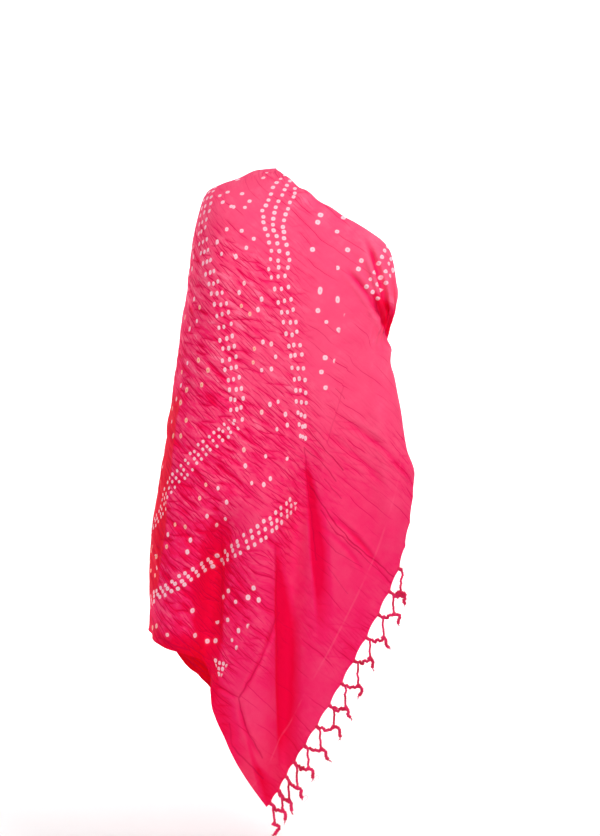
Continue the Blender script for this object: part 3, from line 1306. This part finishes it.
@dataclass
class ClothStretch:
    """One stretch of the cloth, as a thin shell over part of the grid."""

    name: str
    node: str
    columns: slice
    rows: slice
    flat: tuple

    def build(self, grid: ClothGrid, chart: TieChart,
              material: bpy.types.Material) -> bpy.types.Object:
        """Args:
            grid: The whole cloth's grid.
            chart: Places of the tied dots.
            material: The cloth's material.

        Returns:
            The finished piece.
        """
        part = (self.columns, self.rows)
        middle, normals = grid.middle[part], grid.normals[part]
        half = normals * grid.thickness / 2
        points = np.concatenate([(middle + half).reshape(-1, 3), (middle - half).reshape(-1, 3)])
        faces = self._faces(*middle.shape[:2])
        mesh = bpy.data.meshes.new(self.name)
        mesh.vertices.add(len(points))
        mesh.vertices.foreach_set("co", (points - SHOULDER_POINT).ravel())
        mesh.loops.add(faces.size)
        mesh.loops.foreach_set("vertex_index", faces.ravel())
        mesh.polygons.add(len(faces))
        mesh.polygons.foreach_set("loop_start", np.arange(0, faces.size, 4))
        mesh.update(calc_edges=True)
        mesh.validate()
        mesh.shade_smooth()
        for name, values in (("ClothMap", np.stack([grid.lane, grid.run], -1)),
                             ("TieMap", chart.coordinates(grid.across_grid, grid.length))):
            flat = values[part].reshape(-1, 2)
            layer = mesh.uv_layers.new(name=name)
            layer.data.foreach_set("uv", flat[faces.ravel() % len(flat)].ravel())
        for name, values in chart.numbers(grid).items():
            layer = mesh.attributes.new(name, "FLOAT", "POINT")
            layer.data.foreach_set("value", np.tile(values[part].ravel(), 2).astype(np.float32))
        custom = np.concatenate([normals.reshape(-1, 3), -normals.reshape(-1, 3)])
        mesh.normals_split_custom_set_from_vertices(custom)
        mesh.materials.append(material)

        piece = add_object(self.name, mesh)
        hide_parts(self.node)
        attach(piece, ROOT_BODY)
        LOG.info("%s: %d faces", self.name, len(faces))
        return piece

    @staticmethod
    def _faces(rows: int, columns: int) -> np.ndarray:
        """Four-sided faces of both layers and the rim."""
        index = np.arange(rows * columns).reshape(rows, columns)
        a, b = index[:-1, :-1].ravel(), index[1:, :-1].ravel()
        c, d = index[1:, 1:].ravel(), index[:-1, 1:].ravel()
        outer = np.stack([a, d, c, b], -1)
        inner = np.stack([a, b, c, d], -1) + index.size
        rim = np.concatenate([index[:, 0], index[-1, 1:], index[-2::-1, -1], index[0, -2:0:-1]])
        after = np.roll(rim, -1)
        edge = np.stack([rim, after, after + index.size, rim + index.size], -1)
        return np.concatenate([outer, inner, edge])


@dataclass
class KnottedFringe:
    """Net of twisted cords at one end of the cloth."""

    name: str
    node: str
    side: Side
    root_pitch: float = 0.045
    drop: float = 0.037
    tail: float = 0.026
    cord_radius: float = 0.0027
    twist_pitch: float = 0.0085
    ring_step: float = 0.0013
    knot_radius: float = 0.0029
    knot_cord: float = 0.8          # of the cord radius, where it is wound tight
    kink: float = 0.0016
    hidden_past: float = 0.172      # x past which the edge turns round the wearer's side
    tuck: float = 0.016             # how far in and how deep the cords lie there
    tuck_depth: float = 0.007
    drop_spread: tuple = (0.86, 1.12)   # of the drop, from cord to cord
    lean_out: float = 0.21          # of the drop, away from the cloth's end
    lean_forward: float = 0.084
    slack_steps: int = 5            # in a cord that waves to the neighbour's knot
    slack_sag: float = 0.004
    slack_wave: tuple = (0.0008, 0.0030)
    loose_threads: int = 5          # at each cord end
    thread_spread: float = 0.6
    thread_reach: tuple = (0.004, 0.009)
    loop_chance: float = 0.35
    thickness: dict = field(default_factory=lambda: {   # in cord radii
        "held": 0.86, "slack": 1.12, "tail": 1.22, "bow": 1.1, "thread": 0.30, "loop": 0.14})
    knot_sizes: dict = field(default_factory=lambda: {
        "root": 0.80, "joint": 1.0, "end": 0.62})
    bow_root: int = 8
    bow_drop: float = 1.35
    seed: int = 5

    def build(self, grid: ClothGrid, material: bpy.types.Material) -> bpy.types.Object:
        """Args:
            grid: The whole cloth's grid, whose end row carries the cords.
            material: The cord's material.

        Returns:
            The finished piece.
        """
        random = np.random.default_rng(self.seed + self.side.value)
        roots, ways, outs = self._roots(grid)
        tucked = (roots[:, 0] > self.hidden_past) & (self.side is Side.FRONT)
        roots = roots - tucked[:, None] * (ways * self.tuck + outs * self.tuck_depth)
        splines, knots, joints = [], [], []
        for number, (root, way, out) in enumerate(zip(roots, ways, outs)):
            lean = way * self.lean_out + out * self.lean_forward
            joint = root + self.drop * (DOWN * random.uniform(*self.drop_spread) + lean)
            if tucked[number]:
                joint = root + DOWN * self.drop - way * 0.004 - out * 0.004
            elif number == self.bow_root:
                joint = root + DOWN * self.drop * self.bow_drop
            joints.append(joint + random.uniform(-0.002, 0.002, 3))
        for number, (root, way, out) in enumerate(zip(roots, ways, outs)):
            joint = joints[number]
            start, elbow = root - way * 0.003, root + way * 0.005 + out * 0.001
            middle = (elbow + joint) / 2 + way * random.uniform(-0.001, 0.003)
            splines.append(([start, elbow, middle, joint], "held"))
            knots.append((root + way * 0.001, way, "root"))
            if number:
                waved = self._slack(random, start, elbow, joints[number - 1], out)
                splines.append((waved, "slack"))
            self._tail(splines, knots, random, joint, out, bool(tucked[number]))
            if number == self.bow_root:
                self._bow(splines, joint, out)
        piece = self._join(self._cords(splines, material), self._knots(knots, material))
        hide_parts(self.node)
        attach(piece, ROOT_BODY)
        LOG.info("%s: %d roots, %d faces", self.name, len(roots), len(piece.data.polygons))
        return piece

    def _slack(self, random: np.random.Generator, start: np.ndarray, elbow: np.ndarray,
               target: np.ndarray, out: np.ndarray) -> list:
        """Points of a cord that waves from a root to the neighbour's knot."""
        points = [start, elbow - UP * 0.0005]
        for step in range(1, self.slack_steps):
            share = step / self.slack_steps
            sag = self.slack_sag * math.sin(math.pi * share)
            place = elbow + (target - elbow) * share - UP * sag
            wave = (1 if step % 2 else -1) * random.uniform(*self.slack_wave)
            points.append(place + UP * wave + out * random.uniform(-0.001, 0.002))
        return points + [target]

    def _tail(self, splines: list, knots: list, random: np.random.Generator,
              joint: np.ndarray, out: np.ndarray, behind: bool) -> None:
        """Short thick cord end past a knot, with its tuft and loose threads.

        Args:
            splines: Cords so far.
            knots: Knots so far.
            random: The fringe's random source.
            joint: The knot that the tail leaves.
            out: Outward direction of the cloth there.
            behind: Whether the tail tucks in behind the cloth's side.
        """
        aside = np.array([-0.5 if behind else 1.0, 0.0, 0.0])
        reach = 0.3 if behind else random.uniform(0.25, 1.0)
        first = joint + self.tail * (0.42 * reach * aside - 0.16 * UP) + out * 0.001
        second = first + self.tail * (0.20 * reach * random.uniform(-0.6, 1.0) * aside - 0.34 * UP)
        end = second + self.tail * (random.uniform(-0.22, 0.22) * aside - 0.24 * UP)
        splines.append(([joint, first, second, end], "tail"))
        way = unit(end - second)
        knots.append((joint, unit(first - joint), "joint"))
        knots.append((second + (end - second) * 0.7, way, "end"))
        for _ in range(self.loose_threads):
            aim = unit(way + random.uniform(-self.thread_spread, self.thread_spread, 3))
            tip = end + aim * random.uniform(*self.thread_reach)
            splines.append(([end - way * 0.004, end, tip], "thread"))
        if random.random() < self.loop_chance:
            loop = end + np.array([random.uniform(0.004, 0.012), 0.0, 0.004])
            splines.append(([end, loop, loop - UP * 0.014 - aside * 0.006], "loop"))

    def _bow(self, splines: list, joint: np.ndarray, out: np.ndarray) -> None:
        """Two loops of cord tangled about one knot."""
        for sign, size in ((1, 0.0075), (-1, 0.0090)):
            side = np.array([sign, 0.0, 0.0])
            splines.append(([joint, joint + size * (0.5 * side + 0.5 * UP) + out * 0.003,
                             joint + size * 1.15 * side + out * 0.004,
                             joint + size * (0.5 * side - 0.55 * UP) + out * 0.002, joint],
                            "bow"))

    def _roots(self, grid: ClothGrid) -> tuple:
        """Places on the cloth's end, with the ways out and outwards."""
        row, inner = (0, 3) if self.side is Side.FRONT else (-1, -4)
        edge, inside = grid.middle[:, row], grid.middle[:, inner]
        places = np.arange(self.root_pitch / 2, grid.form.width, self.root_pitch)

        def pick(values: np.ndarray) -> np.ndarray:
            """Values at the roots."""
            return np.stack([np.interp(places, grid.across, values[:, axis])
                             for axis in range(3)], -1)

        return pick(edge), unit(pick(unit(edge - inside))), unit(pick(grid.normals[:, row]))

    def _cords(self, splines: list, material: bpy.types.Material) -> bpy.types.Object:
        """Twisted cord along every spline."""
        curve = bpy.data.curves.new(self.name + "_paths", "CURVE")
        curve.dimensions = "3D"
        for points, kind in splines:
            radius = self.thickness[kind]
            spline = curve.splines.new("BEZIER")
            spline.bezier_points.add(len(points) - 1)
            for number, (bezier, point) in enumerate(zip(spline.bezier_points, points)):
                bezier.co = Vector(point - SHOULDER_POINT)
                bezier.handle_left_type = bezier.handle_right_type = "AUTO"
                tapered = kind in ("thread", "loop") and number == len(points) - 1
                bezier.radius = radius * (0.4 if tapered else 1.0)
        paths = add_object(self.name + "_paths", curve)
        return apply_tree(paths, TwistTree().build(), self.name + "_cords", {
            "Cord radius": self.cord_radius, "Twist pitch": self.twist_pitch, "Kink": self.kink,
            "Ring step": self.ring_step * 1, "Material": material})

    def _knots(self, knots: list, material: bpy.types.Material) -> bpy.types.Object:
        """A small wound knot at every tie."""
        mesh = bpy.data.meshes.new(self.name + "_ties")
        mesh.from_pydata([tuple(place - SHOULDER_POINT) for place, _, _ in knots], [], [])
        aim = mesh.attributes.new("aim", "FLOAT_VECTOR", "POINT")
        aim.data.foreach_set("vector", np.array([way for _, way, _ in knots]).ravel())
        size = mesh.attributes.new("size", "FLOAT", "POINT")
        size.data.foreach_set("value", np.array([self.knot_sizes[kind] for _, _, kind in knots]))
        ties = add_object(self.name + "_ties", mesh)
        return apply_tree(ties, KnotTree().build(), self.name + "_knots", {
            "Knot radius": self.knot_radius,
            "Cord radius": self.cord_radius * self.knot_cord,
            "Material": material})

    def _join(self, *parts: bpy.types.Object) -> bpy.types.Object:
        """Join meshes into one piece."""
        with bpy.context.temp_override(active_object=parts[0], object=parts[0],
                                       selected_objects=list(parts),
                                       selected_editable_objects=list(parts)):
            bpy.ops.object.join()
        piece = parts[0]
        piece.name = piece.data.name = self.name
        return piece


# --------------------------------------------------------------- geometry nodes
class GeometryPen(NodePen):
    """Short hand for a geometry node tree with named inputs."""

    def __init__(self, name: str, *sizes: str) -> None:
        """Start a tree that takes geometry, named sizes and a material."""
        super().__init__(bpy.data.node_groups.new(name, "GeometryNodeTree"))
        self._socket("Geometry", "OUTPUT", "Geometry")
        self._socket("Geometry", "INPUT", "Geometry")
        for size in sizes:
            self._socket(size, "INPUT", "Float")
        self._socket("Material", "INPUT", "Material")
        self.start, self.end = self.node("NodeGroupInput"), self.node("NodeGroupOutput")

    def _socket(self, name: str, way: str, kind: str) -> None:
        """Add a named input or output."""
        self.tree.interface.new_socket(name, in_out=way, socket_type="NodeSocket" + kind)

    def given(self, name: str) -> Term:
        """A named input."""
        return self.term(self.start, name)

    def sweep(self, path: Term, profile: Term) -> bpy.types.Node:
        """Mesh of a profile swept along a path, with closed ends."""
        return self.node("GeometryNodeCurveToMesh", {
            "Curve": path, "Profile Curve": profile, "Fill Caps": True})

    def circle(self, points: int) -> Term:
        """Circle of the cord's radius."""
        return self.term(self.node("GeometryNodeCurvePrimitiveCircle", {
            "Resolution": points, "Radius": self.given("Cord radius")}), "Curve")

    def finish(self, geometry: Term) -> bpy.types.NodeTree:
        """Realize, smooth and dress the result."""
        for kind in ("GeometryNodeRealizeInstances", "GeometryNodeSetShadeSmooth"):
            geometry = self.term(self.node(kind, {"Geometry": geometry}), "Geometry")
        dress = self.node("GeometryNodeSetMaterial", {
            "Geometry": geometry, "Material": self.given("Material")})
        self.feed(self.end.inputs["Geometry"], dress.outputs["Geometry"])
        return self.tree


@dataclass
class TwistTree:
    """Curves to two-ply twisted cord."""

    profile_points: int = 10
    waist: float = 0.26
    kink_scale: float = 95.0

    def build(self) -> bpy.types.NodeTree:
        """Make the tree."""
        pen = GeometryPen("twisted_cord", "Cord radius", "Twist pitch", "Kink", "Ring step")
        path = pen.node("GeometryNodeResampleCurve", {
            "Curve": pen.given("Geometry"), "Length": pen.given("Ring step")}, mode="LENGTH")
        unrest = pen.node("ShaderNodeTexNoise", {"Scale": self.kink_scale, "Detail": 1.0})
        unrest = pen.vector_math("SUBTRACT", pen.term(unrest, "Color"), (0.5, 0.5, 0.5))
        shift = pen.vector_math("SCALE", unrest, pen.given("Kink") * 4.0)
        path = pen.node("GeometryNodeSetPosition", {
            "Geometry": pen.term(path, "Curve"), "Offset": shift})
        run = pen.term(pen.node("GeometryNodeSplineParameter"), "Length")
        path = pen.node("GeometryNodeSetCurveTilt", {
            "Curve": pen.term(path, "Geometry"),
            "Tilt": run / pen.given("Twist pitch") * (2 * math.pi)})

        position = pen.term(pen.node("GeometryNodeInputPosition"))
        x, y, _ = pen.split(position)
        lobes = (pen.math("ARCTAN2", y, x) * 2.0).cosine() * self.waist + 1.0
        profile = pen.node("GeometryNodeSetPosition", {
            "Geometry": pen.circle(self.profile_points),
            "Position": pen.vector_math("SCALE", position, lobes)})
        cord = pen.sweep(pen.term(path, "Curve"), pen.term(profile, "Geometry"))
        if "Scale" in cord.inputs:
            pen.feed(cord.inputs["Scale"], pen.term(pen.node("GeometryNodeInputRadius")))
        return pen.finish(pen.term(cord, "Mesh"))


@dataclass
class KnotTree:
    """Points to small wound knots."""

    turns: float = 2.3
    rings: int = 26
    profile_points: int = 7
    taper: float = 0.8
    rise: float = 2.4               # height of the coil in cord radii

    def build(self) -> bpy.types.NodeTree:
        """Make the tree."""
        pen = GeometryPen("wound_knot", "Knot radius", "Cord radius")
        radius, height = pen.given("Knot radius"), pen.given("Cord radius") * self.rise
        coil = pen.node("GeometryNodeCurveSpiral", {
            "Resolution": round(self.rings / self.turns), "Rotations": self.turns,
            "Start Radius": radius, "End Radius": radius * self.taper, "Height": height})
        centred = pen.node("GeometryNodeTransform", {
            "Geometry": pen.term(coil, "Curve"),
            "Translation": pen.vector(0.0, 0.0, height * -0.5)})
        knot = pen.sweep(pen.term(centred, "Geometry"), pen.circle(self.profile_points))
        aim, size = (pen.term(pen.node("GeometryNodeInputNamedAttribute", {"Name": name},
                                       data_type=kind), "Attribute")
                     for name, kind in (("aim", "FLOAT_VECTOR"), ("size", "FLOAT")))
        turned = pen.node("FunctionNodeAlignRotationToVector", {"Vector": aim}, axis="Z")
        placed = pen.node("GeometryNodeInstanceOnPoints", {
            "Points": pen.given("Geometry"), "Instance": pen.term(knot, "Mesh"),
            "Rotation": pen.term(turned, "Rotation"), "Scale": size})
        return pen.finish(pen.term(placed, "Instances"))


def apply_tree(source: bpy.types.Object, tree: bpy.types.NodeTree, name: str,
               values: dict) -> bpy.types.Object:
    """Run a geometry tree on an object and keep the result as a plain mesh.

    Args:
        source: Object that holds the paths or points; it is removed.
        tree: The geometry node tree.
        name: Name of the result.
        values: Named inputs of the tree.

    Returns:
        A mesh object at the origin.
    """
    modifier = source.modifiers.new("nodes", "NODES")
    modifier.node_group = tree
    for socket in tree.interface.items_tree:
        if socket.item_type == "SOCKET" and socket.in_out == "INPUT" and socket.name in values:
            modifier[socket.identifier] = values[socket.name]
    depsgraph = bpy.context.evaluated_depsgraph_get()
    mesh = bpy.data.meshes.new_from_object(source.evaluated_get(depsgraph),
                                           preserve_all_data_layers=True, depsgraph=depsgraph)
    source.modifiers.clear()
    bpy.data.objects.remove(source)
    return add_object(name, mesh)


# ------------------------------------------------------------------------ stage
@dataclass
class Studio:
    """Pale round floor and sweep, soft lights and the camera."""

    floor_z: float = -1.40
    radius: float = 7.5
    sweep_radius: float = 1.8
    wall_top: float = 4.5
    paper: tuple = (0.93, 0.93, 0.93, 1.0)
    paper_roughness: float = 0.9
    camera_place: tuple = (0.100, -3.2, -0.4835)
    view_height: float = 1.672          # what the frame's height spans at the wearer
    sweep_steps: int = 12
    segments: int = 96
    lit_point: tuple = (0.1, 0.0, -0.6)     # what the soft boxes face
    wall_point: tuple = (0.1, 7.4, -0.6)
    boxes: tuple = (
        SoftBox("key", (1.0, -1.4, 1.25), 0.45, 33.5),
        SoftBox("fill", (-1.6, -3.2, 0.3), 2.4, 31.0),
        SoftBox("wall_left", (-3.6, 2.2, 1.2), 2.6, 270.0, lights_wall=True),
        SoftBox("wall_right", (3.6, 2.2, 1.2), 2.6, 270.0, lights_wall=True),
        SoftBox("back_left", (-2.6, 3.4, 1.6), 2.0, 60.0))
    room: tuple = (1.0, 1.0, 1.0, 1.0)
    room_strength: float = 0.20

    def build(self) -> None:
        """Make the stage."""
        self._paper_sweep()
        self._camera()
        self._lights()
        bpy.context.scene.view_settings.view_transform = "Standard"

    def _paper_sweep(self) -> None:
        """Round floor that curves up into a wall all the way round."""
        profile = []
        for step in range(self.sweep_steps + 1):
            angle = math.pi / 2 * step / self.sweep_steps
            profile.append((self.radius - self.sweep_radius * (1 - math.sin(angle)),
                            self.floor_z + self.sweep_radius * (1 - math.cos(angle))))
        profile.append((self.radius, self.floor_z + self.wall_top))
        points = [(0.0, 0.0, self.floor_z)]
        for radius, height in profile:
            for number in range(self.segments):
                angle = 2 * math.pi * number / self.segments
                points.append((radius * math.cos(angle), radius * math.sin(angle), height))
        faces = []
        for number in range(self.segments):
            after = (number + 1) % self.segments
            faces.append((0, 1 + number, 1 + after))
            for ring in range(len(profile) - 1):
                low, high = 1 + ring * self.segments, 1 + (ring + 1) * self.segments
                faces.append((low + number, high + number, high + after, low + after))
        mesh = bpy.data.meshes.new("paper_sweep")
        mesh.from_pydata(points, [], faces)
        mesh.shade_smooth()
        mesh.materials.append(ShaderPen("paper").finish({
            "Base Color": self.paper, "Roughness": self.paper_roughness}))
        floor = add_object("paper_sweep", mesh)

    def _camera(self) -> None:
        """Level camera in front of the wearer."""
        data = bpy.data.cameras.new("camera")
        data.sensor_fit = "VERTICAL"
        data.lens = data.sensor_height * -self.camera_place[1] / self.view_height
        camera = add_object("camera", data)
        camera.location = self.camera_place
        camera.rotation_euler = (math.pi / 2, 0, 0)
        bpy.context.scene.camera = camera

    def _lights(self) -> None:
        """Soft boxes for the cloth and the wall, and a white room."""
        for box in self.boxes:
            data = bpy.data.lights.new(box.name, "AREA")
            data.shape, data.size, data.energy = "SQUARE", box.size, box.power
            light = add_object(box.name, data)
            light.location = box.place
            target = Vector(self.wall_point if box.lights_wall else self.lit_point)
            light.rotation_euler = (target - light.location).to_track_quat("-Z", "Y").to_euler()
        world = bpy.data.worlds.new("room")
        world.use_nodes = True
        background = world.node_tree.nodes["Background"]
        background.inputs["Color"].default_value = self.room
        background.inputs["Strength"].default_value = self.room_strength
        bpy.context.scene.world = world


def main() -> None:
    """Build every piece in order."""
    logging.basicConfig(level=logging.INFO, format="%(name)s: %(message)s")
    Studio().build()
    grid = ClothGrid(StoleForm(), CrushedSurface())
    chart = TieChart()
    cotton = TiedCotton().build()
    band, front, turn = grid.band_columns, grid.front_end, grid.turn_end
    stretches = (
        ClothStretch("chest_cloth", "chest_band", slice(0, band + 1), slice(0, front + 1),
                     (0.24, 0.56)),
        ClothStretch("front_cloth", "front_panel", slice(band, None), slice(0, front + 1),
                     (0.70, 0.47)),
        ClothStretch("shoulder_cloth", "shoulder_turn", slice(None), slice(front, turn + 1),
                     (0.94, 0.36)),
        ClothStretch("back_cloth", "back_panel", slice(None), slice(turn, None),
                     (0.94, 0.44)),
    )
    for stretch in stretches:
        stretch.build(grid, chart, cotton)
    cord = TwistedCotton().build()
    KnottedFringe("front_cords", "fringe_front", Side.FRONT).build(grid, cord)
    KnottedFringe("back_cords", "fringe_back", Side.BACK).build(grid, cord)


if __name__ == "__main__":
    main()
